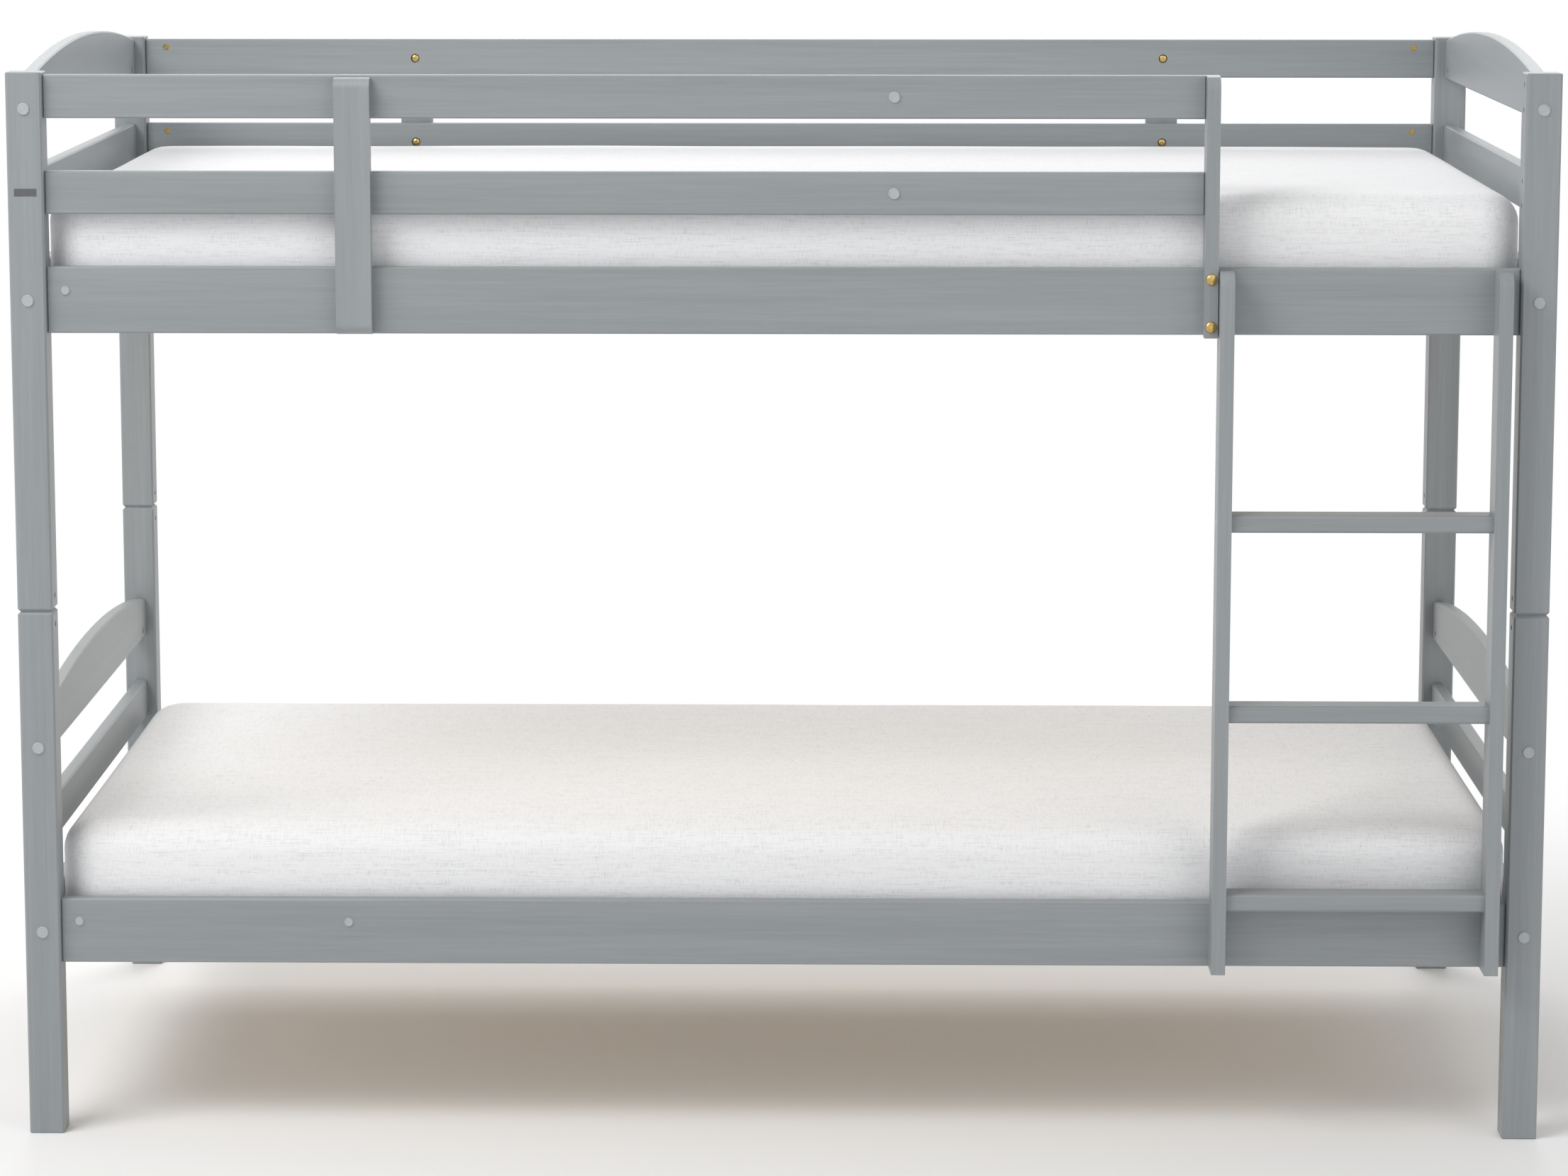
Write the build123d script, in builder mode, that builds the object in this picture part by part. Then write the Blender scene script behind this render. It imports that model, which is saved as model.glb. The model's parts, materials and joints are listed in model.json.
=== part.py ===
"""Bunk bed in painted solid wood: two beds, one above the other, on four posts in two halves.

X runs along the bed from left to right, Y from the front to the rear and Z up from the floor.
The origin lies on the floor under the middle of the whole bed, ladder and rear braces included.
"""

import os
from dataclasses import dataclass
from math import cos, radians, sin

from build123d import *

os.makedirs("parts", exist_ok=True)

# Mattresses
mattress_length = 2000
mattress_width = 900
mattress_height = 150
mattress_end_play = 6
mattress_side_play = 2.5
mattress_corner = 60
mattress_top_edge = 44
mattress_bottom_edge = 20
mattress_crown = 4
mattress_draw = 3
crown_inset = 240
edge_step = 45
least_mattress_corner = 25
rest_gap = 0.3

# Posts, each a lower and an upper half that butt on a steel pin
post_width = 48
post_depth = 42
post_half_height = 732
post_corner = 2.5
post_groove = 4
post_end_chamfer = 1.5

# Boards between the posts
board = 18
end_gap = 0.2
edge_bevel = 2
end_chamfer = 1.5
rail_height = 90
rail_floor_gap = 240
bunk_pitch = 872
guard_height = 58
guard_gap = 71
arch_rise = 31

# Slats and the cleats that carry them
cleat_width = 18
cleat_height = 24
cleat_lift = 2
cleat_length = 1880
slat_count = 13
slat_width = 68
slat_thickness = 15
slat_play = 1
slat_chamfer = 1

# Ladder, at the front on the right
stile_width = 19
stile_depth = 48
stile_top_drop = 2
stile_top_radius = 19
stile_foot_radius = 6
ladder_post_gap = 15.5
ladder_pitch = 371
rung_height = 24
rung_depth = 40
rung_radius = 4
rung_count = 3
rung_pitch = 261
first_rung_lift = 98.5

# Guard upright beside the ladder and the braces behind the guard rails
upright_depth = 42
upright_ladder_gap = 1.3
upright_drop = 2
upright_top_radius = 18
brace_width = 48
brace_radius = 14
brace_top_drop = 3

# Bolts into the ends of the boards, with barrel nuts
bolt_diameter = 6
bolt_play = 0.5
head_diameter = 12
head_height = 4.5
head_play = 0.5
pocket_depth = 6
nut_setback = 32
nut_diameter = 10
nut_length = 13
nut_depth = 14
nut_play = 0.25
thread_play = 0.1
bolt_past_nut = 3
rail_bolt_offset = 24
guard_bolt_offset = 17
arch_bolt_offset = 16

# Wooden dowels beside the bolts
dowel_diameter = 8
dowel_play = 0.1
dowel_in_post = 14
dowel_in_board = 22
end_rail_dowel_offset = 28

# Covers and marks
cap_diameter = 16.5
cap_height = 2
cap_slant = 35
plug_diameter = 12.3
plug_height = 1.8
spare_cap_diameter = 15.5
mark_length = 30
mark_height = 10
mark_thickness = 0.4

# Pins and cross holes of the post joints
pin_diameter = 10
pin_length = 90
pin_play = 0.2
cross_hole = 8
cross_hole_offset = 20
cross_hole_depth = 16

# Bolts through the side rails and guard rails, with heads sunk in their inner faces
sunk_head_diameter = 13
sunk_head_height = 3
sunk_head_play = 0.5
sunk_pocket_depth = 4
ladder_bolt_drop = 32
ladder_bolt_length = 46
brace_bolt_length = 30
plug_hole = 8
upright_bolt_offset = 32
upright_bolt_length = 38
dome_diameter = 15.5
dome_height = 4
dome_bevel = 2

# Screws of the rungs
screw_diameter = 5
screw_head_diameter = 10
screw_head_height = 3
screw_length = 45

# Hidden shanks, dowels and their holes have few sides, and so do small heads and covers
hidden_sides = 6
head_sides = 8
cap_sides = 12

# Places worked out from the sizes above
post_x = mattress_length / 2 + mattress_end_play + board / 2
post_y = mattress_width / 2 + mattress_side_play + board / 2
post_inner_x = post_x - post_width / 2
post_inner_y = post_y - post_depth / 2
rail_recess = (post_depth - board) / 2
ladder_reach = stile_depth - rail_recess
brace_reach = board - rail_recess
bed_y = (ladder_reach - brace_reach) / 2

ends = {"left": -1, "right": 1}
rows = {"front": -1, "rear": 1}
bunks = {"lower": 0, "upper": 1}
front_y = bed_y - post_y
rear_y = bed_y + post_y

rail_middle = [rail_floor_gap + rail_height / 2 + bunk * bunk_pitch for bunk in bunks.values()]
rail_to_guard = rail_height / 2 + guard_gap + guard_height / 2
guard_pitch = guard_gap + guard_height
lower_board_middle = [middle + rail_to_guard for middle in rail_middle]
arch_middle = [middle + guard_pitch for middle in lower_board_middle]
guard_middles = {"lower": lower_board_middle[1], "upper": arch_middle[1]}

slat_bottom = [middle - rail_height / 2 + cleat_lift + cleat_height for middle in rail_middle]
slat_length = 2 * (post_y - board / 2 - slat_play)
slat_pitch = (cleat_length - slat_width) / (slat_count - 1)

right_stile_x = post_inner_x - ladder_post_gap - stile_width / 2
left_stile_x = right_stile_x - ladder_pitch
stile_foot = rail_middle[0] - rail_height / 2
stile_top = rail_middle[1] + rail_height / 2 - stile_top_drop
rung_length = ladder_pitch - stile_width
rung_y = front_y - board / 2 - rung_depth / 2
rung_heights = [stile_foot + first_rung_lift + step * rung_pitch for step in range(rung_count)]

upright_x = left_stile_x - stile_width / 2 - upright_ladder_gap - board / 2
upright_left_x = upright_x - board / 2
tongue_depth = upright_depth - board
upright_foot = rail_middle[1] - rail_height / 2 - upright_drop
upright_top = guard_middles["upper"] + guard_height / 2
brace_foot = rail_middle[1] - rail_height / 2
brace_top = upright_top - brace_top_drop
spare_brace_x = upright_left_x - post_inner_x + upright_x


def facing_x(x, y, z, side=1):
    """Plane at a point, facing along X to one side, with Z up in it."""
    return Plane(origin=(x, y, z), x_dir=(0, side, 0), z_dir=(side, 0, 0))


def facing_y(x, y, z, side=1):
    """Plane at a point, facing along Y to one side, with Z up in it."""
    return Plane(origin=(x, y, z), x_dir=(-side, 0, 0), z_dir=(0, side, 0))


def sink(places, diameter, depth, sides=hidden_sides):
    """Sink a straight hole from each plane, against the way that it faces."""
    with BuildSketch(*places) as openings:
        RegularPolygon(diameter / 2, sides)
    extrude(openings.sketch, amount=-depth, mode=Mode.SUBTRACT)


def peg(places, diameter, length, sides=hidden_sides):
    """Add a straight peg from each plane, against the way that it faces."""
    with BuildSketch(*places) as ends_of_pegs:
        RegularPolygon(diameter / 2, sides)
    extrude(ends_of_pegs.sketch, amount=-length)


@dataclass
class Bolt:
    """A bolt through a post, or through the upright, into the end of a board."""

    face: Plane  # where the board meets the post, facing out of the board
    inward: Vector  # from the board towards the middle of the bed
    through: float  # thickness of the post or the upright

    @property
    def outside(self):
        """Plane on the outer face of the post, where the head is."""
        return self.face.offset(self.through)

    @property
    def nut_face(self):
        """Plane on the board's inner face, over the barrel nut."""
        spot = self.face.origin - self.face.z_dir * nut_setback + self.inward * (board / 2)
        return Plane(origin=spot, x_dir=self.face.z_dir, z_dir=self.inward)


def end_face(end, row, z):
    """Where a board of the head or foot end meets a post, at a height."""
    return facing_y(end * post_x, bed_y + row * post_inner_y, z, row)


def rail_face(end, row, z):
    """Where a side rail or a guard rail meets a post, at a height."""
    return facing_x(end * post_inner_x, bed_y + row * post_y, z, end)


def end_bolt(end, row, z):
    return Bolt(end_face(end, row, z), Vector(-end, 0, 0), post_depth)


def rail_bolt(end, row, z):
    return Bolt(rail_face(end, row, z), Vector(0, -row, 0), post_width)


def upright_bolt(z):
    face = facing_x(upright_left_x, front_y, z)
    return Bolt(face, Vector(0, 1, 0), board)


# Heights of the bolts and dowels, the same in all four posts
end_bolt_heights = rail_middle + [middle - arch_bolt_offset for middle in arch_middle]
end_dowel_heights = (
    [middle + side * end_rail_dowel_offset for middle in rail_middle for side in (-1, 1)]
    + [middle + side * arch_bolt_offset for middle in lower_board_middle for side in (-1, 1)]
    + [middle + arch_bolt_offset for middle in arch_middle]
)
side_rail_bolt_heights = [middle + rail_bolt_offset for middle in rail_middle]
side_rail_dowel_heights = [middle - rail_bolt_offset for middle in rail_middle]
guard_bolt_heights = [middle + guard_bolt_offset for middle in guard_middles.values()]
guard_dowel_heights = [middle - guard_bolt_offset for middle in guard_middles.values()]
corners = [(end, row) for end in ends.values() for row in rows.values()]


def bolt_holes_in_post(bolts):
    """Holes through a post, each with a pocket for the head."""
    outsides = [bolt.outside for bolt in bolts]
    through = bolts[0].through
    sink(outsides, bolt_diameter + 2 * bolt_play, through)
    sink(outsides, head_diameter + 2 * head_play, pocket_depth, head_sides)


def dowel_holes_in_post(faces):
    sink([face.offset(dowel_in_post) for face in faces], dowel_diameter + 2 * dowel_play, dowel_in_post)


def bolt_holes_in_board(bolts):
    """Holes in the ends of a board for bolts, and across it for their barrel nuts."""
    hole_depth = nut_setback + nut_diameter / 2 + bolt_past_nut + bolt_play
    sink([bolt.face for bolt in bolts], bolt_diameter + 2 * bolt_play, hole_depth)
    sink([bolt.nut_face for bolt in bolts], nut_diameter + 2 * nut_play, nut_depth)


def dowel_holes_in_board(faces):
    sink(faces, dowel_diameter + 2 * dowel_play, dowel_in_board)


def ease_board(piece, along, up=Axis.Z):
    """Ease the upright edges of a board's ends, and then its long edges."""
    chamfer(piece.faces().filter_by(along).edges().filter_by(up), end_chamfer)
    chamfer(piece.edges().filter_by(along), edge_bevel)


def post_half(end, row, bunk):
    """Half a post. Its face at the joint has a wide chamfer, which makes a groove there."""
    foot = bunk * post_half_height
    top = foot + post_half_height

    def in_half(heights):
        return [z for z in heights if foot < z < top]

    with BuildPart() as post:
        with BuildSketch(Plane(origin=(end * post_x, bed_y + row * post_y, foot))):
            Rectangle(post_width, post_depth)
        extrude(amount=post_half_height)
        low_face, high_face = post.faces().filter_by(Axis.Z).sort_by(Axis.Z)
        joint_face, free_face = (low_face, high_face) if bunk else (high_face, low_face)
        chamfer(joint_face.edges(), post_groove)
        chamfer(free_face.edges(), post_end_chamfer)
        chamfer(post.edges().filter_by(Axis.Z), post_corner)

        bolt_holes_in_post([end_bolt(end, row, z) for z in in_half(end_bolt_heights)])
        bolt_holes_in_post([rail_bolt(end, row, z) for z in in_half(side_rail_bolt_heights)])
        dowel_holes_in_post([end_face(end, row, z) for z in in_half(end_dowel_heights)])
        dowel_holes_in_post([rail_face(end, row, z) for z in in_half(side_rail_dowel_heights)])
        if bunk:
            bolt_holes_in_post([rail_bolt(end, row, z) for z in guard_bolt_heights])
            dowel_holes_in_post([rail_face(end, row, z) for z in guard_dowel_heights])

        # Hole for half the pin, and the cross hole beside it
        joint_centre = (end * post_x, bed_y + row * post_y, post_half_height)
        facing_out = 1 if bunk == 0 else -1
        joint_plane = Plane(origin=joint_centre, z_dir=(0, 0, facing_out))
        sink([joint_plane], pin_diameter + 2 * pin_play, pin_length / 2 + pin_play)
        cross_z = post_half_height - facing_out * cross_hole_offset
        cross_face = facing_x(end * post_inner_x, bed_y + row * post_y, cross_z, -end)
        sink([cross_face], cross_hole, cross_hole_depth, head_sides)
    return post


def arched_board(end, bunk):
    """Top board of a head or foot end: straight below, an arc above."""
    length = 2 * (post_inner_y - end_gap)
    low = -guard_height / 2
    high = guard_height / 2
    middle = arch_middle[bunk]
    with BuildPart() as piece:
        with BuildSketch(facing_x(end * post_x, bed_y, middle)):
            with BuildLine():
                Polyline((-length / 2, high), (-length / 2, low), (length / 2, low), (length / 2, high))
                ThreePointArc((length / 2, high), (0, high + arch_rise), (-length / 2, high))
            make_face()
        extrude(amount=board / 2, both=True)
        chamfer(piece.faces().filter_by(Axis.Y).edges().filter_by(Axis.Z), end_chamfer)
        broad_faces = piece.faces().filter_by(Axis.X)
        chamfer(broad_faces.edges().filter_by(Axis.Z, reverse=True), edge_bevel)
        bolt_holes_in_board([end_bolt(end, row, middle - arch_bolt_offset) for row in rows.values()])
        dowel_holes_in_board([end_face(end, row, middle + arch_bolt_offset) for row in rows.values()])
    return piece


def middle_rail(end, bunk):
    """Straight board under the arched board, held by dowels alone."""
    length = 2 * (post_inner_y - end_gap)
    middle = lower_board_middle[bunk]
    with BuildPart() as piece:
        with BuildSketch(facing_y(end * post_x, bed_y - length / 2, middle)):
            Rectangle(board, guard_height)
        extrude(amount=length)
        ease_board(piece, Axis.Y)
        dowel_heights = [middle - arch_bolt_offset, middle + arch_bolt_offset]
        dowel_holes_in_board([end_face(end, row, z) for row in rows.values() for z in dowel_heights])
    return piece


def end_rail(end, bunk):
    """Board across the end of a bed, at the height of its side rails."""
    length = 2 * (post_inner_y - end_gap)
    middle = rail_middle[bunk]
    with BuildPart() as piece:
        with BuildSketch(facing_y(end * post_x, bed_y - length / 2, middle)):
            Rectangle(board, rail_height)
        extrude(amount=length)
        ease_board(piece, Axis.Y)
        bolt_holes_in_board([end_bolt(end, row, middle) for row in rows.values()])
        dowel_heights = [middle - end_rail_dowel_offset, middle + end_rail_dowel_offset]
        dowel_holes_in_board([end_face(end, row, z) for row in rows.values() for z in dowel_heights])
    return piece


def sunk_bolt_holes(places):
    """Holes through a rail, each with a pocket in its inner face for a sunk head."""
    sink(places, bolt_diameter + 2 * bolt_play, board)
    sink(places, sunk_head_diameter + 2 * sunk_head_play, sunk_pocket_depth, head_sides)


def inner_face(x, row, z):
    """Plane on the inner face of a side rail or guard rail, facing the middle of the bed."""
    return facing_y(x, bed_y + row * (post_y - board / 2), z, -row)


def outer_face(x, row, z):
    """Plane on the outer face of a side rail or guard rail, facing away from the bed."""
    return facing_y(x, bed_y + row * (post_y + board / 2), z, row)


ladder_bolt_heights = [middle + rail_height / 2 - ladder_bolt_drop for middle in rail_middle]
stile_places = (left_stile_x, right_stile_x)
rear_brace_places = {"left": -upright_x, "right": upright_x}


def side_rail(row, bunk):
    length = 2 * (post_inner_x - end_gap)
    middle = rail_middle[bunk]
    with BuildPart() as piece:
        with BuildSketch(facing_x(-length / 2, bed_y + row * post_y, middle)):
            Rectangle(board, rail_height)
        extrude(amount=length)
        ease_board(piece, Axis.X)
        bolt_holes_in_board([rail_bolt(end, row, middle + rail_bolt_offset) for end in ends.values()])
        dowel_holes_in_board([rail_face(end, row, middle - rail_bolt_offset) for end in ends.values()])
        if row == rows["front"]:
            # The ladder bolts on at the right, and the rail has the same holes at the left
            height = ladder_bolt_heights[bunk]
            sunk_bolt_holes([inner_face(x, row, height) for x in stile_places])
            spare_places = [inner_face(-x, row, height) for x in stile_places]
            sink(spare_places, plug_hole, board, head_sides)
        if bunk:
            brace_places = [-upright_x] if row == rows["front"] else rear_brace_places.values()
            sunk_bolt_holes([inner_face(x, row, middle) for x in brace_places])
        if bunk and row == rows["front"]:
            upright_holes = [outer_face(upright_x, row, z) for z in upright_bolt_heights]
            sink(upright_holes, bolt_diameter + 2 * bolt_play, board)
    return piece


upright_bolt_heights = [rail_middle[1] - upright_bolt_offset, rail_middle[1] + upright_bolt_offset]


def guard_rail(row, level):
    """Guard rail of the upper bed. In front it runs from the left post to the upright."""
    middle = guard_middles[level]
    is_front = row == rows["front"]
    left = -post_inner_x + end_gap
    right = (upright_left_x if is_front else post_inner_x) - end_gap
    with BuildPart() as piece:
        with BuildSketch(facing_x(left, bed_y + row * post_y, middle)):
            Rectangle(board, guard_height)
        extrude(amount=right - left)
        ease_board(piece, Axis.X)
        bolt_z = middle + guard_bolt_offset
        right_bolt = upright_bolt(middle) if is_front else rail_bolt(1, row, bolt_z)
        bolt_holes_in_board([rail_bolt(-1, row, bolt_z), right_bolt])
        dowel_ends = [-1] if is_front else [-1, 1]
        dowel_holes_in_board([rail_face(end, row, middle - guard_bolt_offset) for end in dowel_ends])
        brace_places = [-upright_x] if is_front else rear_brace_places.values()
        sunk_bolt_holes([inner_face(x, row, middle) for x in brace_places])
        if is_front:
            sink([inner_face(spare_brace_x, row, middle)], plug_hole, board, head_sides)
    return piece


def brace(x, row):
    """Upright board that ties two guard rails to the side rail, on their outer faces."""
    with BuildPart() as piece:
        with BuildSketch(outer_face(x, row, (brace_foot + brace_top) / 2)):
            Rectangle(brace_width, brace_top - brace_foot)
        extrude(amount=board)
        outer = piece.faces().filter_by(Axis.Y).sort_by(Axis.Y)[0 if row < 0 else -1]
        fillet(outer.edges().filter_by(Axis.X), brace_radius)
        heights = [rail_middle[1], *guard_middles.values()]
        bolt_seats = [facing_y(x, bed_y + row * (post_y + board / 2), z, -row) for z in heights]
        sink(bolt_seats, bolt_diameter + 2 * bolt_play, brace_bolt_length - board + bolt_play)
    return piece


def guard_upright():
    """Upright at the end of the front guard rails, notched over the side rail."""
    front = front_y + board / 2 - upright_depth
    back = front_y + board / 2
    rail_top = rail_middle[1] + rail_height / 2
    with BuildPart() as piece:
        with BuildSketch(facing_x(upright_x, 0, 0)):
            with BuildLine():
                Polyline(
                    (back, upright_top),
                    (back, rail_top),
                    (front + tongue_depth, rail_top),
                    (front + tongue_depth, upright_foot),
                    (front, upright_foot),
                    (front, upright_top),
                    close=True,
                )
            outline = make_face()
            top_front = outline.vertices().group_by(Axis.Y)[-1].sort_by(Axis.X)[0]
            fillet(top_front, upright_top_radius)
        extrude(amount=board / 2, both=True)
        guard_bolts = [upright_bolt(middle) for middle in guard_middles.values()]
        sink([bolt.outside for bolt in guard_bolts], bolt_diameter + 2 * bolt_play, board)
        sink([bolt.outside for bolt in guard_bolts], head_diameter + 2 * head_play, pocket_depth, head_sides)
        tongue_face = [facing_y(upright_x, front, z, -1) for z in upright_bolt_heights]
        sink(tongue_face, bolt_diameter + 2 * bolt_play, tongue_depth)
    return piece


def ladder_stile(x):
    """Side of the ladder, on the front faces of both side rails."""
    back = front_y - board / 2
    front = back - stile_depth
    side = 1 if x == right_stile_x else -1
    with BuildPart() as piece:
        with BuildSketch(facing_x(x, (front + back) / 2, (stile_foot + stile_top) / 2)):
            outline = Rectangle(stile_depth, stile_top - stile_foot)
            front_corners = outline.vertices().group_by(Axis.X)[0].sort_by(Axis.Y)
            fillet(front_corners[-1], stile_top_radius)
            fillet(front_corners[0], stile_foot_radius)
        extrude(amount=stile_width / 2, both=True)
        bolt_seats = [facing_y(x, back, z) for z in ladder_bolt_heights]
        sink(bolt_seats, bolt_diameter + 2 * bolt_play, ladder_bolt_length - board + bolt_play)
        screw_places = [facing_x(x + side * stile_width / 2, rung_y, z, side) for z in rung_heights]
        sink(screw_places, screw_diameter + 2 * thread_play, stile_width)
        sink(screw_places, screw_head_diameter + 2 * thread_play, screw_head_height, head_sides)
    return piece


def ladder_rung(z):
    middle_x = (left_stile_x + right_stile_x) / 2
    with BuildPart() as piece:
        with BuildSketch(facing_x(middle_x - rung_length / 2, rung_y, z)):
            outline = Rectangle(rung_depth, rung_height)
            fillet(outline.vertices(), rung_radius)
        extrude(amount=rung_length)
        screw_places = [facing_x(middle_x + side * rung_length / 2, rung_y, z, side) for side in (-1, 1)]
        sink(screw_places, screw_diameter + 2 * thread_play, screw_length - stile_width + thread_play)
    return piece


def cleat(row, bunk):
    """Strip along the inner face of a side rail, under the ends of the slats."""
    y = bed_y + row * (post_y - board / 2 - cleat_width / 2)
    with BuildPart() as piece:
        with BuildSketch(facing_x(-cleat_length / 2, y, slat_bottom[bunk] - cleat_height / 2)):
            Rectangle(cleat_width, cleat_height)
        extrude(amount=cleat_length)
    return piece


def slats(bunk):
    with BuildPart() as row_of_slats:
        with BuildSketch(Plane(origin=(0, bed_y, slat_bottom[bunk]))):
            with GridLocations(slat_pitch, 0, slat_count, 1):
                Rectangle(slat_width, slat_length)
        extrude(amount=slat_thickness)
        top_faces = row_of_slats.faces().filter_by(Axis.Z).group_by(Axis.Z)[-1]
        chamfer(top_faces.edges().filter_by(Axis.Y), slat_chamfer)
    return row_of_slats


def mattress_profile():
    """Heights and insets of the mattress, from its flat bottom round its edges to its crown."""
    turns = [radians(angle) for angle in range(0, 91, edge_step)]
    low_edge = [
        (mattress_bottom_edge * (1 - cos(turn)), mattress_bottom_edge * (1 - sin(turn))) for turn in turns
    ]
    shoulder = mattress_height - mattress_crown - mattress_top_edge
    high_edge = [
        (shoulder + mattress_top_edge * sin(turn), mattress_top_edge * (1 - cos(turn))) for turn in turns
    ]
    crown = [
        (mattress_height - mattress_crown / 4, (mattress_top_edge + crown_inset) / 2),
        (mattress_height, crown_inset),
    ]
    return low_edge + high_edge + crown


def mattress(bunk):
    """Mattress with rounded edges, sides drawn in between its corners and a crowned top."""
    bottom = slat_bottom[bunk] + slat_thickness + rest_gap
    with BuildPart() as pad:
        for rise, inset in mattress_profile():
            half_x = mattress_length / 2 - inset
            half_y = mattress_width / 2 - inset
            with BuildSketch(Plane(origin=(0, bed_y, bottom + rise))):
                with BuildLine():
                    ThreePointArc((-half_x, -half_y), (0, mattress_draw - half_y), (half_x, -half_y))
                    ThreePointArc((half_x, -half_y), (half_x - mattress_draw, 0), (half_x, half_y))
                    ThreePointArc((half_x, half_y), (0, half_y - mattress_draw), (-half_x, half_y))
                    ThreePointArc((-half_x, half_y), (mattress_draw - half_x, 0), (-half_x, -half_y))
                outline = make_face()
                fillet(outline.vertices(), max(mattress_corner - inset, least_mattress_corner))
        loft(ruled=True)
    return pad


def post_caps():
    """Round covers over the bolts on the front and rear faces of the posts."""
    faces = [end_bolt(end, row, z).outside for end, row in corners for z in end_bolt_heights]
    with BuildPart() as caps:
        with BuildSketch(*faces) as rounds:
            RegularPolygon(cap_diameter / 2, cap_sides)
        extrude(rounds.sketch, amount=cap_height, taper=cap_slant)
    return caps


def bolts_with_pocket_heads(bolts):
    """Bolts whose heads lie in the pockets of the posts or of the upright."""
    with BuildPart() as group:
        seats = [bolt.outside.offset(-pocket_depth) for bolt in bolts]
        reach = nut_setback + nut_diameter / 2 + bolt_past_nut
        peg(seats, bolt_diameter, bolts[0].through - pocket_depth + reach)
        peg([seat.offset(head_height) for seat in seats], head_diameter, head_height, head_sides)
    return group


def barrel_nuts(bolts):
    """Barrel nuts across the boards, each with a hole that its bolt passes through."""
    with BuildPart() as group:
        tops = [bolt.nut_face.offset(nut_length - nut_depth) for bolt in bolts]
        peg(tops, nut_diameter, nut_length)
        sink([bolt.face for bolt in bolts], bolt_diameter + 2 * thread_play, nut_setback + nut_diameter)
    return group


def dowels():
    faces = [end_face(end, row, z) for end, row in corners for z in end_dowel_heights]
    faces += [rail_face(end, row, z) for end, row in corners for z in side_rail_dowel_heights]
    guard_corners = [(end, row) for end, row in corners if (end, row) != (1, -1)]
    faces += [rail_face(end, row, z) for end, row in guard_corners for z in guard_dowel_heights]
    with BuildPart() as group:
        tips = [face.offset(dowel_in_post - dowel_play) for face in faces]
        peg(tips, dowel_diameter, dowel_in_post + dowel_in_board - 2 * dowel_play)
    return group


def sunk_bolts(places, length):
    """Bolts with low round heads, sunk in the inner faces of the rails."""
    with BuildPart() as group:
        seats = [place.offset(-sunk_pocket_depth) for place in places]
        peg(seats, bolt_diameter, length - sunk_pocket_depth)
        peg([seat.offset(sunk_head_height) for seat in seats], sunk_head_diameter, sunk_head_height, head_sides)
    return group


def domed_bolts():
    """Bolts with domed heads that hold the upright to the side rail."""
    front = front_y + board / 2 - upright_depth
    faces = [facing_y(upright_x, front, z, -1) for z in upright_bolt_heights]
    with BuildPart() as group:
        peg(faces, bolt_diameter, upright_bolt_length)
        with BuildSketch(*faces) as rounds:
            RegularPolygon(dome_diameter / 2, cap_sides)
        extrude(rounds.sketch, amount=dome_height)
        crowns = group.faces().filter_by(Axis.Y).group_by(Axis.Y)[0]
        chamfer(crowns.edges(), dome_bevel)
    return group


def rung_screws():
    with BuildPart() as group:
        for x, side in ((left_stile_x, -1), (right_stile_x, 1)):
            faces = [facing_x(x + side * stile_width / 2, rung_y, z, side) for z in rung_heights]
            peg(faces, screw_diameter, screw_length)
            peg(faces, screw_head_diameter, screw_head_height, head_sides)
    return group


def round_covers(faces, diameter, height):
    """Round plugs or caps on the outer ends of unused holes, each with a stem in its hole."""
    with BuildPart() as group:
        with BuildSketch(*faces) as rounds:
            RegularPolygon(diameter / 2, cap_sides)
        extrude(rounds.sketch, amount=height, taper=cap_slant)
        peg(faces, plug_hole - 2 * thread_play, board / 2, head_sides)
    return group


def post_joint_pins():
    with BuildPart() as group:
        tops = [
            Plane(origin=(end * post_x, bed_y + row * post_y, post_half_height + pin_length / 2))
            for end, row in corners
        ]
        peg(tops, pin_diameter, pin_length)
    return group


def mattress_height_mark():
    """Small flat mark for the highest top of the mattress."""
    top = slat_bottom[1] + slat_thickness + mattress_height
    with BuildPart() as mark:
        with BuildSketch(facing_y(-post_x, bed_y - post_y - post_depth / 2, top, -1)):
            Rectangle(mark_length, mark_height)
        extrude(amount=mark_thickness)
    return mark


pieces = {}

for bunk_name, bunk in bunks.items():
    for end_name, end in ends.items():
        pieces[f"{bunk_name}_{end_name}_arched_board"] = arched_board(end, bunk)
        pieces[f"{bunk_name}_{end_name}_middle_rail"] = middle_rail(end, bunk)
        pieces[f"{bunk_name}_{end_name}_end_rail"] = end_rail(end, bunk)
        for row_name, row in rows.items():
            pieces[f"{bunk_name}_post_{row_name}_{end_name}"] = post_half(end, row, bunk)
    for row_name, row in rows.items():
        pieces[f"{bunk_name}_{row_name}_side_rail"] = side_rail(row, bunk)
        pieces[f"{bunk_name}_{row_name}_cleat"] = cleat(row, bunk)
    pieces[f"{bunk_name}_slats"] = slats(bunk)
    pieces[f"{bunk_name}_mattress"] = mattress(bunk)

for row_name, row in rows.items():
    for level in guard_middles:
        pieces[f"{row_name}_{level}_guard_rail"] = guard_rail(row, level)

pieces["front_brace"] = brace(-upright_x, rows["front"])
for end_name, x in rear_brace_places.items():
    pieces[f"rear_brace_{end_name}"] = brace(x, rows["rear"])
pieces["guard_upright"] = guard_upright()
pieces["ladder_stile_left"] = ladder_stile(left_stile_x)
pieces["ladder_stile_right"] = ladder_stile(right_stile_x)
for number, height in enumerate(rung_heights, start=1):
    pieces[f"ladder_rung_{number}"] = ladder_rung(height)

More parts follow.
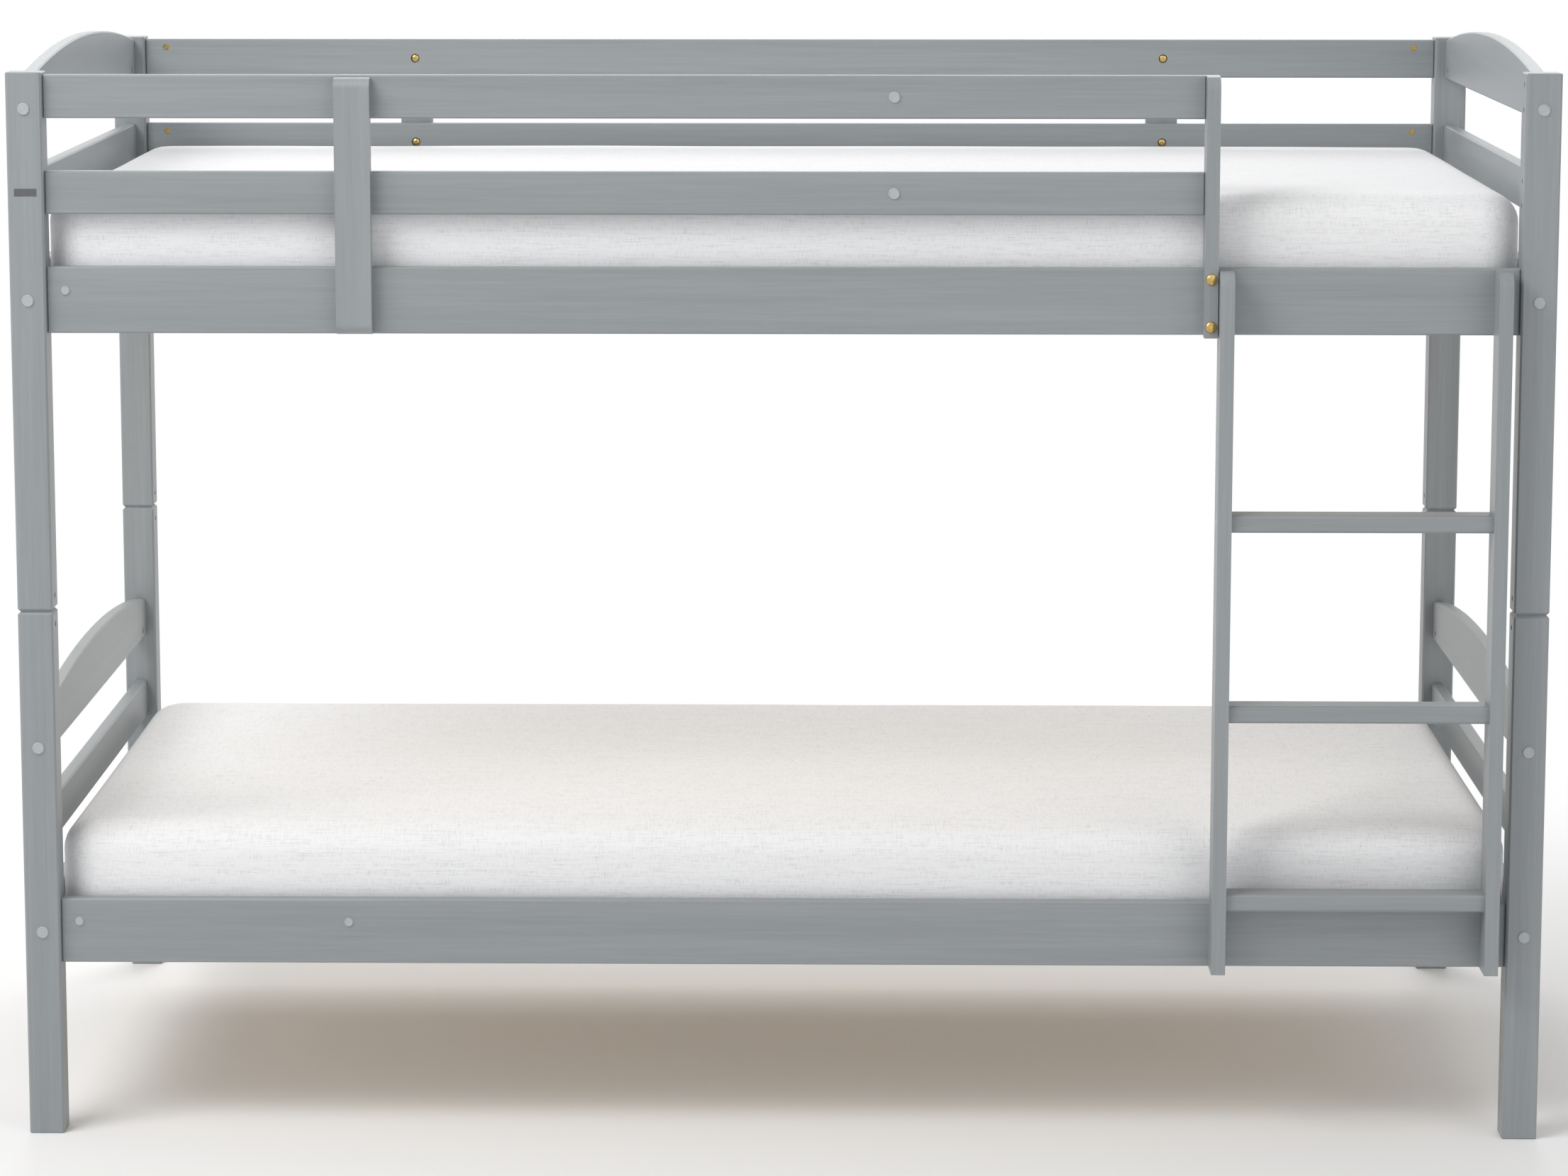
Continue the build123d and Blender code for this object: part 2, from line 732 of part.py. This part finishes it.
# Fastenings, each kind a group of its own
end_bolts = [end_bolt(end, row, z) for end, row in corners for z in end_bolt_heights]
rail_bolts = [rail_bolt(end, row, z) for end, row in corners for z in side_rail_bolt_heights]
guard_corners = [(end, row) for end, row in corners if (end, row) != (ends["right"], rows["front"])]
guard_bolts = [rail_bolt(end, row, z) for end, row in guard_corners for z in guard_bolt_heights]
upright_bolts = [upright_bolt(middle) for middle in guard_middles.values()]

pieces["post_caps"] = post_caps()
pieces["end_panel_bolts"] = bolts_with_pocket_heads(end_bolts)
pieces["side_rail_bolts"] = bolts_with_pocket_heads(rail_bolts)
pieces["guard_rail_bolts"] = bolts_with_pocket_heads(guard_bolts)
pieces["upright_rail_bolts"] = bolts_with_pocket_heads(upright_bolts)
pieces["barrel_nuts"] = barrel_nuts(end_bolts + rail_bolts + guard_bolts + upright_bolts)
pieces["dowels"] = dowels()

ladder_bolt_places = [inner_face(x, -1, z) for x in stile_places for z in ladder_bolt_heights]
brace_bolt_heights = [rail_middle[1], *guard_middles.values()]
brace_bolt_places = [inner_face(-upright_x, -1, z) for z in brace_bolt_heights]
brace_bolt_places += [inner_face(x, 1, z) for x in rear_brace_places.values() for z in brace_bolt_heights]
pieces["ladder_bolts"] = sunk_bolts(ladder_bolt_places, ladder_bolt_length)
pieces["brace_bolts"] = sunk_bolts(brace_bolt_places, brace_bolt_length)
pieces["upright_bolts"] = domed_bolts()
pieces["rung_screws"] = rung_screws()

# The fourth spare ladder hole lies behind the front brace and has no plug
spare_ladder_holes = [
    (-right_stile_x, ladder_bolt_heights[0]),
    (-left_stile_x, ladder_bolt_heights[0]),
    (-right_stile_x, ladder_bolt_heights[1]),
]
plug_faces = [outer_face(x, -1, z) for x, z in spare_ladder_holes]
spare_brace_faces = [outer_face(spare_brace_x, -1, z) for z in guard_middles.values()]
pieces["ladder_hole_plugs"] = round_covers(plug_faces, plug_diameter, plug_height)
pieces["guard_rail_caps"] = round_covers(spare_brace_faces, spare_cap_diameter, cap_height)
pieces["post_joint_pins"] = post_joint_pins()
pieces["mattress_height_mark"] = mattress_height_mark()

for name, piece in pieces.items():
    piece.part.label = name
    export_step(piece.part, f"parts/{name}.step")
print(len(pieces), "pieces")
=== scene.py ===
"""Looks of the grey painted bunk bed: brushed paint, woven mattress covers and small fittings."""

import json
import math

import bmesh
import bpy
from mathutils import Matrix, Vector, noise


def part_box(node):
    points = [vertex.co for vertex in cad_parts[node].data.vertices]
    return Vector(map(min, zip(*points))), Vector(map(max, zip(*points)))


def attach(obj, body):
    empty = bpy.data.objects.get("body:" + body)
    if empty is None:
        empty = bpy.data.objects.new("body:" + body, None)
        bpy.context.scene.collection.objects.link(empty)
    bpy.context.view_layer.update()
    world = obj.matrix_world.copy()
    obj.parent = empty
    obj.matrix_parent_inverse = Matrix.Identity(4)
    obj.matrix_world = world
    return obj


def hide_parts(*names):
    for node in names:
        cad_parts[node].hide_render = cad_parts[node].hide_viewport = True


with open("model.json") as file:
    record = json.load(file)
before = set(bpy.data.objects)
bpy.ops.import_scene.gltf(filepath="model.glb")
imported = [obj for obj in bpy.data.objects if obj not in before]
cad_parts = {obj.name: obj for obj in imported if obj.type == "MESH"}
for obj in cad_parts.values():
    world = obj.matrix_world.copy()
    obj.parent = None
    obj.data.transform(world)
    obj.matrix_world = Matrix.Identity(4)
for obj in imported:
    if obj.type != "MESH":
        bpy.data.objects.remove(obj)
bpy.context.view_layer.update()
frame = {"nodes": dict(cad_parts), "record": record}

nodes = frame["nodes"]
bodies = {"upper_mattress": "upper_pad", "lower_mattress": "lower_pad"}


# Materials

def new_material(name):
    """A material with its shader and its Object coordinates, ready for a pattern."""
    material = bpy.data.materials.new(name)
    material.use_nodes = True
    tree = material.node_tree
    shader = tree.nodes["Principled BSDF"]
    place = tree.nodes.new("ShaderNodeTexCoord")
    return material, tree, shader, place


def linear(red, green, blue):
    """A colour given as it shows on a screen, 0 to 255, in linear light."""
    def channel(value):
        value /= 255
        return value / 12.92 if value <= 0.04045 else ((value + 0.055) / 1.055) ** 2.4
    return (channel(red), channel(green), channel(blue), 1)


def stretched_noise(tree, place, scale, detail=4, rough=0.55):
    """Noise drawn out along an axis by unlike scales, as brush marks and threads are."""
    mapping = tree.nodes.new("ShaderNodeMapping")
    mapping.inputs["Scale"].default_value = scale
    tree.links.new(place.outputs["Object"], mapping.inputs["Vector"])
    texture = tree.nodes.new("ShaderNodeTexNoise")
    texture.inputs["Scale"].default_value = 1
    texture.inputs["Detail"].default_value = detail
    texture.inputs["Roughness"].default_value = rough
    tree.links.new(mapping.outputs["Vector"], texture.inputs["Vector"])
    return texture


def ramp(tree, source, low, high, start=0.3, end=0.7):
    """Colours from low to high as a texture's value goes from start to end."""
    colours = tree.nodes.new("ShaderNodeValToRGB")
    colours.color_ramp.elements[0].position = start
    colours.color_ramp.elements[0].color = low
    colours.color_ramp.elements[1].position = end
    colours.color_ramp.elements[1].color = high
    tree.links.new(source, colours.inputs["Fac"])
    return colours


def bump(tree, shader, height, strength, distance):
    relief = tree.nodes.new("ShaderNodeBump")
    relief.inputs["Strength"].default_value = strength
    relief.inputs["Distance"].default_value = distance
    tree.links.new(height, relief.inputs["Height"])
    tree.links.new(relief.outputs["Normal"], shader.inputs["Normal"])


def mix_values(tree, first, second, operation="MULTIPLY"):
    node = tree.nodes.new("ShaderNodeMath")
    node.operation = operation
    tree.links.new(first, node.inputs[0])
    tree.links.new(second, node.inputs[1])
    return node.outputs[0]


paint_low = linear(139, 144, 146)
paint_high = linear(152, 157, 160)


def grey_paint(name, grain_scale):
    """Semi-gloss paint over brushed pine, with its fine lines along the board."""
    material, tree, shader, place = new_material(name)
    grain = stretched_noise(tree, place, grain_scale, detail=6, rough=0.6)
    broad = stretched_noise(tree, place, tuple(value * 0.12 for value in grain_scale), detail=2)
    both = mix_values(tree, grain.outputs["Fac"], broad.outputs["Fac"], "ADD")
    half = tree.nodes.new("ShaderNodeMath")
    half.operation = "MULTIPLY"
    half.inputs[1].default_value = 0.5
    tree.links.new(both, half.inputs[0])
    colours = ramp(tree, half.outputs[0], paint_low, paint_high, 0.32, 0.66)
    tree.links.new(colours.outputs["Color"], shader.inputs["Base Color"])
    rough = tree.nodes.new("ShaderNodeMapRange")
    rough.inputs["To Min"].default_value = 0.36
    rough.inputs["To Max"].default_value = 0.5
    tree.links.new(grain.outputs["Fac"], rough.inputs["Value"])
    tree.links.new(rough.outputs["Result"], shader.inputs["Roughness"])
    shader.inputs["Specular IOR Level"].default_value = 0.5
    bump(tree, shader, grain.outputs["Fac"], 0.14, 0.0005)
    return material


across_grain = 260
along_grain = 7
paint_along = {
    "X": grey_paint("grey_paint_along_x", (along_grain, across_grain, across_grain)),
    "Y": grey_paint("grey_paint_along_y", (across_grain, along_grain, across_grain)),
    "Z": grey_paint("grey_paint_along_z", (across_grain, across_grain, along_grain)),
}


def bare_pine(name, grain_scale):
    """Planed pine with its growth lines, for the slats and cleats."""
    material, tree, shader, place = new_material(name)
    grain = stretched_noise(tree, place, grain_scale, detail=5)
    colours = ramp(tree, grain.outputs["Fac"], linear(201, 168, 122), linear(228, 203, 162))
    tree.links.new(colours.outputs["Color"], shader.inputs["Base Color"])
    shader.inputs["Roughness"].default_value = 0.6
    bump(tree, shader, grain.outputs["Fac"], 0.2, 0.0005)
    return material


pine_along_x = bare_pine("pine_along_x", (6, 150, 150))
pine_along_y = bare_pine("pine_along_y", (150, 6, 150))


def golden_steel():
    """Yellow zinc plate, with the green and rose clouds that it has."""
    material, tree, shader, place = new_material("golden_zinc")
    clouds = stretched_noise(tree, place, (220, 220, 220), detail=3)
    colours = ramp(tree, clouds.outputs["Fac"], linear(176, 150, 92), linear(222, 190, 126))
    tree.links.new(colours.outputs["Color"], shader.inputs["Base Color"])
    shader.inputs["Metallic"].default_value = 1
    shader.inputs["Roughness"].default_value = 0.28
    bump(tree, shader, clouds.outputs["Fac"], 0.08, 0.0003)
    return material


def satin_plastic(name, low, high, roughness):
    material, tree, shader, place = new_material(name)
    speckle = stretched_noise(tree, place, (900, 900, 900), detail=2)
    colours = ramp(tree, speckle.outputs["Fac"], low, high)
    tree.links.new(colours.outputs["Color"], shader.inputs["Base Color"])
    shader.inputs["Roughness"].default_value = roughness
    bump(tree, shader, speckle.outputs["Fac"], 0.1, 0.0002)
    return material


def woven_cover():
    """White slub weave: a fine plain weave with thicker threads here and there across it."""
    material, tree, shader, place = new_material("white_slub_weave")
    weft = stretched_noise(tree, place, (45, 900, 900), detail=3, rough=0.7)
    warp = stretched_noise(tree, place, (900, 60, 90), detail=2, rough=0.6)
    slubs = stretched_noise(tree, place, (14, 420, 420), detail=5, rough=0.75)
    threads = mix_values(tree, weft.outputs["Fac"], warp.outputs["Fac"], "ADD")
    height = mix_values(tree, threads, slubs.outputs["Fac"], "ADD")
    shade = tree.nodes.new("ShaderNodeMath")
    shade.operation = "MULTIPLY"
    shade.inputs[1].default_value = 1 / 3
    tree.links.new(height, shade.inputs[0])
    colours = ramp(tree, shade.outputs[0], linear(214, 215, 217), linear(244, 244, 245), 0.36, 0.5)
    tree.links.new(colours.outputs["Color"], shader.inputs["Base Color"])
    shader.inputs["Roughness"].default_value = 0.92
    shader.inputs["Sheen Weight"].default_value = 0.2
    bump(tree, shader, height, 0.35, 0.0008)
    return material


golden = golden_steel()
light_plastic = satin_plastic("light_grey_plastic", linear(168, 173, 177), linear(182, 187, 190), 0.4)
dark_plastic = satin_plastic("dark_grey_plastic", linear(84, 86, 88), linear(100, 102, 104), 0.55)
cover = woven_cover()


def material_for(node):
    """The finish of a node, and for painted boards the way its grain runs."""
    low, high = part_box(node)
    spans = [high[axis] - low[axis] for axis in range(3)]
    slot_of = {part["node"]: part["material_slot"] for part in frame["record"]["subparts"]}
    slot = slot_of[node]
    if slot == "grey_paint":
        return paint_along["XYZ"[spans.index(max(spans))]]
    if slot == "bare_wood":
        return pine_along_y if node.endswith("slats") else pine_along_x
    finishes = {"golden_steel": golden, "grey_plastic": light_plastic, "dark_mark": dark_plastic}
    return finishes.get(slot, cover)


for node, piece in nodes.items():
    finish = material_for(node)
    piece.data.materials.clear()
    piece.data.materials.append(finish)


# Helpers for new pieces

def finish_piece(mesh_data, name, body, material, smooth=True):
    """A new object from a bmesh, riding on a body, with its finish."""
    mesh = bpy.data.meshes.new(name)
    mesh_data.to_mesh(mesh)
    mesh_data.free()
    if smooth:
        mesh.shade_smooth()
        mesh.set_sharp_from_angle(angle=math.radians(35))
    piece = bpy.data.objects.new(name, mesh)
    bpy.context.scene.collection.objects.link(piece)
    mesh.materials.append(material)
    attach(piece, body)
    return piece


def joined_to(verts):
    """All the vertices that edges join to the given ones, with those."""
    seen, waiting = set(verts), list(verts)
    while waiting:
        vert = waiting.pop()
        for link in vert.link_edges:
            other = link.other_vert(vert)
            if other not in seen:
                seen.add(other)
                waiting.append(other)
    return seen


def solids_of(node):
    """Centres and boxes of the separate solids of a node, from left to right."""
    work = bmesh.new()
    work.from_mesh(nodes[node].data)
    bmesh.ops.remove_doubles(work, verts=work.verts, dist=1e-6)
    work.verts.ensure_lookup_table()
    left = set(work.verts)
    found = []
    while left:
        group = joined_to([next(iter(left))])
        left -= group
        low = Vector([min(vert.co[axis] for vert in group) for axis in range(3)])
        high = Vector([max(vert.co[axis] for vert in group) for axis in range(3)])
        found.append((low, high))
    work.free()
    return sorted(found, key=lambda box: tuple(round(value, 4) for value in box[0]))


def facing(direction):
    """Rotation that turns +Z to a direction."""
    return Vector((0, 0, 1)).rotation_difference(Vector(direction)).to_matrix().to_4x4()


def turned(mesh_data, profile, place, direction, steps=32):
    """Spins a profile of (radius, height) points round an axis and sets it at a place."""
    verts = [mesh_data.verts.new((radius, 0, height)) for radius, height in profile]
    edges = [mesh_data.edges.new(pair) for pair in zip(verts, verts[1:])]
    bmesh.ops.spin(
        mesh_data, geom=verts + edges, axis=(0, 0, 1), cent=(0, 0, 0),
        angle=2 * math.pi, steps=steps, use_merge=True,
    )
    whole = joined_to(verts)
    bmesh.ops.transform(mesh_data, matrix=Matrix.Translation(place) @ facing(direction), verts=list(whole))


def close_up(mesh_data):
    bmesh.ops.remove_doubles(mesh_data, verts=mesh_data.verts, dist=1e-6)
    bmesh.ops.recalc_face_normals(mesh_data, faces=mesh_data.faces)


# Mattresses

crown = 0.004
side_draw = 0.0025
unevenness_height = 0.0009
plan_corner = 0.058
top_edge = 0.044
bottom_edge = 0.02
ring_spacing = 0.04
ring_margin = 0.06
pad_clearance = Vector((0.003, 0.003, 0.0005))
crown_start = 0.6


def round_over(mesh_data, edges, radius, segments):
    """Rounds edges with a bevel of several segments."""
    bmesh.ops.bevel(
        mesh_data, geom=edges, offset=radius, segments=segments,
        affect="EDGES", profile=0.5, material=-1,
    )


def padded_mattress(node, seed):
    """A mattress with full rounded edges, whose sides draw in and whose cover is faintly uneven."""
    low, high = (Vector(corner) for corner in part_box(node))
    middle, size = (low + high) / 2, high - low
    pad = bmesh.new()
    bmesh.ops.create_cube(pad, size=1)
    bmesh.ops.scale(pad, vec=size - pad_clearance, verts=pad.verts)
    upright = [edge for edge in pad.edges if abs(edge.verts[0].co.z - edge.verts[1].co.z) > 0.1]
    round_over(pad, upright, plan_corner, 8)
    rims = {}
    for edge in pad.edges:
        zs = [vert.co.z for vert in edge.verts]
        if abs(zs[0] - zs[1]) < 1e-6 and len(edge.link_faces) == 2:
            rims.setdefault(zs[0] > 0, []).append(edge)
    round_over(pad, rims[True], top_edge, 8)
    rims_low = [
        edge for edge in pad.edges
        if all(vert.co.z < -size.z / 2 + 0.001 for vert in edge.verts) and len(edge.link_faces) == 2
    ]
    round_over(pad, rims_low, bottom_edge, 4)
    for axis in (0, 1):
        count = int(size[axis] / ring_spacing)
        for number in range(1, count):
            place = [0, 0, 0]
            place[axis] = -size[axis] / 2 + ring_margin + number * (size[axis] - 2 * ring_margin) / count
            normal = [0, 0, 0]
            normal[axis] = 1
            whole = pad.verts[:] + pad.edges[:] + pad.faces[:]
            bmesh.ops.bisect_plane(pad, geom=whole, plane_co=place, plane_no=normal)
    bmesh.ops.remove_doubles(pad, verts=pad.verts, dist=1e-6)
    half = size / 2
    for vert in pad.verts:
        along = vert.co.x / half.x
        across = vert.co.y / half.y
        up = (vert.co.z + half.z) / size.z
        unevenness = noise.noise(Vector((vert.co.x * 5, vert.co.y * 5, seed))) * unevenness_height
        dome = max(0, 1 - along ** 2) * max(0, 1 - across ** 2)
        if up > crown_start:
            share = (up - crown_start) / (1 - crown_start)
            vert.co.z += ((dome - 1) * crown + unevenness) * share
        side = math.sin(math.pi * min(max(up, 0), 1))
        vert.co.y -= side_draw * (1 - along ** 2) * across * side
        vert.co.x -= side_draw * (1 - across ** 2) * along * side
    bmesh.ops.translate(pad, vec=middle, verts=pad.verts)
    bmesh.ops.recalc_face_normals(pad, faces=pad.faces)
    piece = finish_piece(pad, f"{node}_cover", bodies[node], cover)
    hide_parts(node)
    return piece


padded_mattress("upper_mattress", 1.3)
padded_mattress("lower_mattress", 7.9)


# Fine fittings that stand for the plain ones

def ring_of(node, name, material, profile_for, direction_for, steps=32):
    """Replaces a group of plain round solids with turned ones in the same places."""
    group = bmesh.new()
    for low, high in solids_of(node):
        place, direction, radius, height = direction_for(low, high)
        turned(group, profile_for(radius, height), place, direction, steps)
    close_up(group)
    piece = finish_piece(group, name, "bed", material)
    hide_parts(node)
    return piece


def cap_profile(radius, height):
    """Low round cap with a bevelled rim and a flat middle."""
    return [
        (0, 0), (radius, 0), (radius, height * 0.35), (radius * 0.93, height * 0.8),
        (radius * 0.86, height), (radius * 0.82, height), (radius * 0.78, height * 0.86), (0, height * 0.9),
    ]


def on_post(low, high):
    """A cap on a post's front or rear face, facing away from the bed."""
    middle = (low + high) / 2
    front = middle.y < 0
    place = Vector((middle.x, high.y if front else low.y, middle.z))
    return place, (0, -1 if front else 1, 0), (high.z - low.z) / 2, high.y - low.y


ring_of("post_caps", "post_cover_caps", light_plastic, cap_profile, on_post)


def on_rail(flange):
    """A cover on the outer face of a front rail."""
    def placing(low, high):
        middle = (low + high) / 2
        return Vector((middle.x, low.y + flange, middle.z)), (0, -1, 0), (high.z - low.z) / 2, flange
    return placing


on_ladder_hole = on_rail(0.0018)
on_guard_hole = on_rail(0.002)
ring_of("ladder_hole_plugs", "ladder_hole_covers", light_plastic, cap_profile, on_ladder_hole)
ring_of("guard_rail_caps", "guard_hole_covers", light_plastic, cap_profile, on_guard_hole)


def socket_profile(shank_length, socket_depth=0.0022, socket_radius=0.0024):
    """A low domed head with a round socket, above its shank."""
    def profile(radius, height):
        dome = [
            (radius * math.sin(turn), height * (0.25 + 0.75 * math.cos(turn)))
            for turn in (math.radians(angle) for angle in (90, 70, 50, 32))
        ]
        socket = [(socket_radius, height), (socket_radius, height - socket_depth), (0, height - socket_depth)]
        return [(0, -shank_length), (0.003, -shank_length), (0.003, 0), (radius, 0)] + dome + socket
    return profile


dome_height = 0.004
sunk_head_height = 0.003


def in_front_of_upright(low, high):
    """A domed bolt on the front of the guard upright."""
    middle = (low + high) / 2
    place = Vector((middle.x, low.y + dome_height, middle.z))
    return place, (0, -1, 0), (high.z - low.z) / 2, dome_height


def sunk_in_rail(low, high):
    """A bolt whose head is sunk in the inner face of a front or rear rail."""
    middle = (low + high) / 2
    front = middle.y < 0
    place = Vector((middle.x, high.y - sunk_head_height if front else low.y + sunk_head_height, middle.z))
    return place, (0, 1 if front else -1, 0), (high.z - low.z) / 2, sunk_head_height


upright_shank, ladder_shank, brace_shank = 0.036, 0.040, 0.024
bolt_kinds = (
    ("upright_bolts", "upright_bolt_heads", upright_shank, in_front_of_upright),
    ("ladder_bolts", "ladder_bolt_heads", ladder_shank, sunk_in_rail),
    ("brace_bolts", "brace_bolt_heads", brace_shank, sunk_in_rail),
)
for node, name, shank, placing in bolt_kinds:
    ring_of(node, name, golden, socket_profile(shank), placing)


# Floor, light and camera

def plain_floor():
    """Pale flat floor that fades to plain white away from the bed, where the camera or a reflection sees it.
    """
    mesh_data = bmesh.new()
    size = 30
    corners = [(-size, -size, 0), (size, -size, 0), (size, size, 0), (-size, size, 0)]
    mesh_data.faces.new([mesh_data.verts.new(corner) for corner in corners])
    mesh = bpy.data.meshes.new("floor")
    mesh_data.to_mesh(mesh)
    mesh_data.free()
    floor = bpy.data.objects.new("floor", mesh)
    bpy.context.scene.collection.objects.link(floor)
    material = bpy.data.materials.new("pale_floor")
    material.use_nodes = True
    tree = material.node_tree
    shader = tree.nodes["Principled BSDF"]
    shader.inputs["Base Color"].default_value = (0.96, 0.96, 0.96, 1)
    shader.inputs["Roughness"].default_value = 0.9
    white = tree.nodes.new("ShaderNodeEmission")
    place = tree.nodes.new("ShaderNodeTexCoord")
    distance = tree.nodes.new("ShaderNodeVectorMath")
    distance.operation = "LENGTH"
    fade = tree.nodes.new("ShaderNodeMapRange")
    fade.interpolation_type = "SMOOTHSTEP"
    fade.inputs["From Min"].default_value = 1.2
    fade.inputs["From Max"].default_value = 2.4
    rays = tree.nodes.new("ShaderNodeLightPath")
    blend = tree.nodes.new("ShaderNodeMixShader")
    tree.links.new(place.outputs["Object"], distance.inputs[0])
    tree.links.new(distance.outputs["Value"], fade.inputs["Value"])
    seen = mix_values(tree, rays.outputs["Is Camera Ray"], rays.outputs["Is Glossy Ray"], "MAXIMUM")
    amount = mix_values(tree, fade.outputs["Result"], seen)
    tree.links.new(amount, blend.inputs["Fac"])
    tree.links.new(shader.outputs["BSDF"], blend.inputs[1])
    tree.links.new(white.outputs["Emission"], blend.inputs[2])
    tree.links.new(blend.outputs["Shader"], tree.nodes["Material Output"].inputs["Surface"])
    mesh.materials.append(material)


plain_floor()


def soft_light(name, place, aim, size, power):
    lamp = bpy.data.lights.new(name, "AREA")
    lamp.shape = "RECTANGLE"
    lamp.size, lamp.size_y = size
    lamp.energy = power
    holder = bpy.data.objects.new(name, lamp)
    bpy.context.scene.collection.objects.link(holder)
    holder.location = place
    holder.rotation_euler = (Vector(aim) - Vector(place)).to_track_quat("-Z", "Y").to_euler()


soft_light("key", (-2.6, -2.4, 4.2), (0, 0, 0.8), (2.6, 2.2), 120)
soft_light("fill", (3.4, -4.2, 2.4), (0, 0, 0.7), (3, 3), 28)
soft_light("back", (0, 3.8, 3.8), (0, 0, 0.7), (4, 2), 100)

world = bpy.data.worlds.new("studio")
bpy.context.scene.world = world
world.use_nodes = True
tree = world.node_tree
background = tree.nodes["Background"]
background.inputs["Color"].default_value = (1, 1, 1, 1)
background.inputs["Strength"].default_value = 0.52
seen = tree.nodes.new("ShaderNodeBackground")
seen.inputs["Color"].default_value = (1, 1, 1, 1)
seen.inputs["Strength"].default_value = 1
rays = tree.nodes.new("ShaderNodeLightPath")
mixer = tree.nodes.new("ShaderNodeMixShader")
either = mix_values(tree, rays.outputs["Is Camera Ray"], rays.outputs["Is Glossy Ray"], "MAXIMUM")
tree.links.new(either, mixer.inputs["Fac"])
tree.links.new(background.outputs[0], mixer.inputs[1])
tree.links.new(seen.outputs[0], mixer.inputs[2])
tree.links.new(mixer.outputs[0], tree.nodes["World Output"].inputs["Surface"])

# The camera stands a little right of the middle, above the top bed, and looks slightly down
camera_place = (0.0664, -6.5216, 1.8214)
look_down = math.radians(8.29)
look_left = math.radians(0.83)
picture_width = 2212
focal_pixels = 6395.5
camera_data = bpy.data.cameras.new("camera")
camera_data.sensor_width = 36
camera_data.lens = focal_pixels / picture_width * camera_data.sensor_width
camera_data.shift_x = 0.0115
camera_data.shift_y = -0.08
camera_data.clip_end = 100
camera = bpy.data.objects.new("camera", camera_data)
bpy.context.scene.collection.objects.link(camera)
camera.location = camera_place
camera.rotation_euler = (math.pi / 2 - look_down, 0, look_left)
bpy.context.scene.camera = camera
bpy.context.scene.view_settings.view_transform = "Standard"
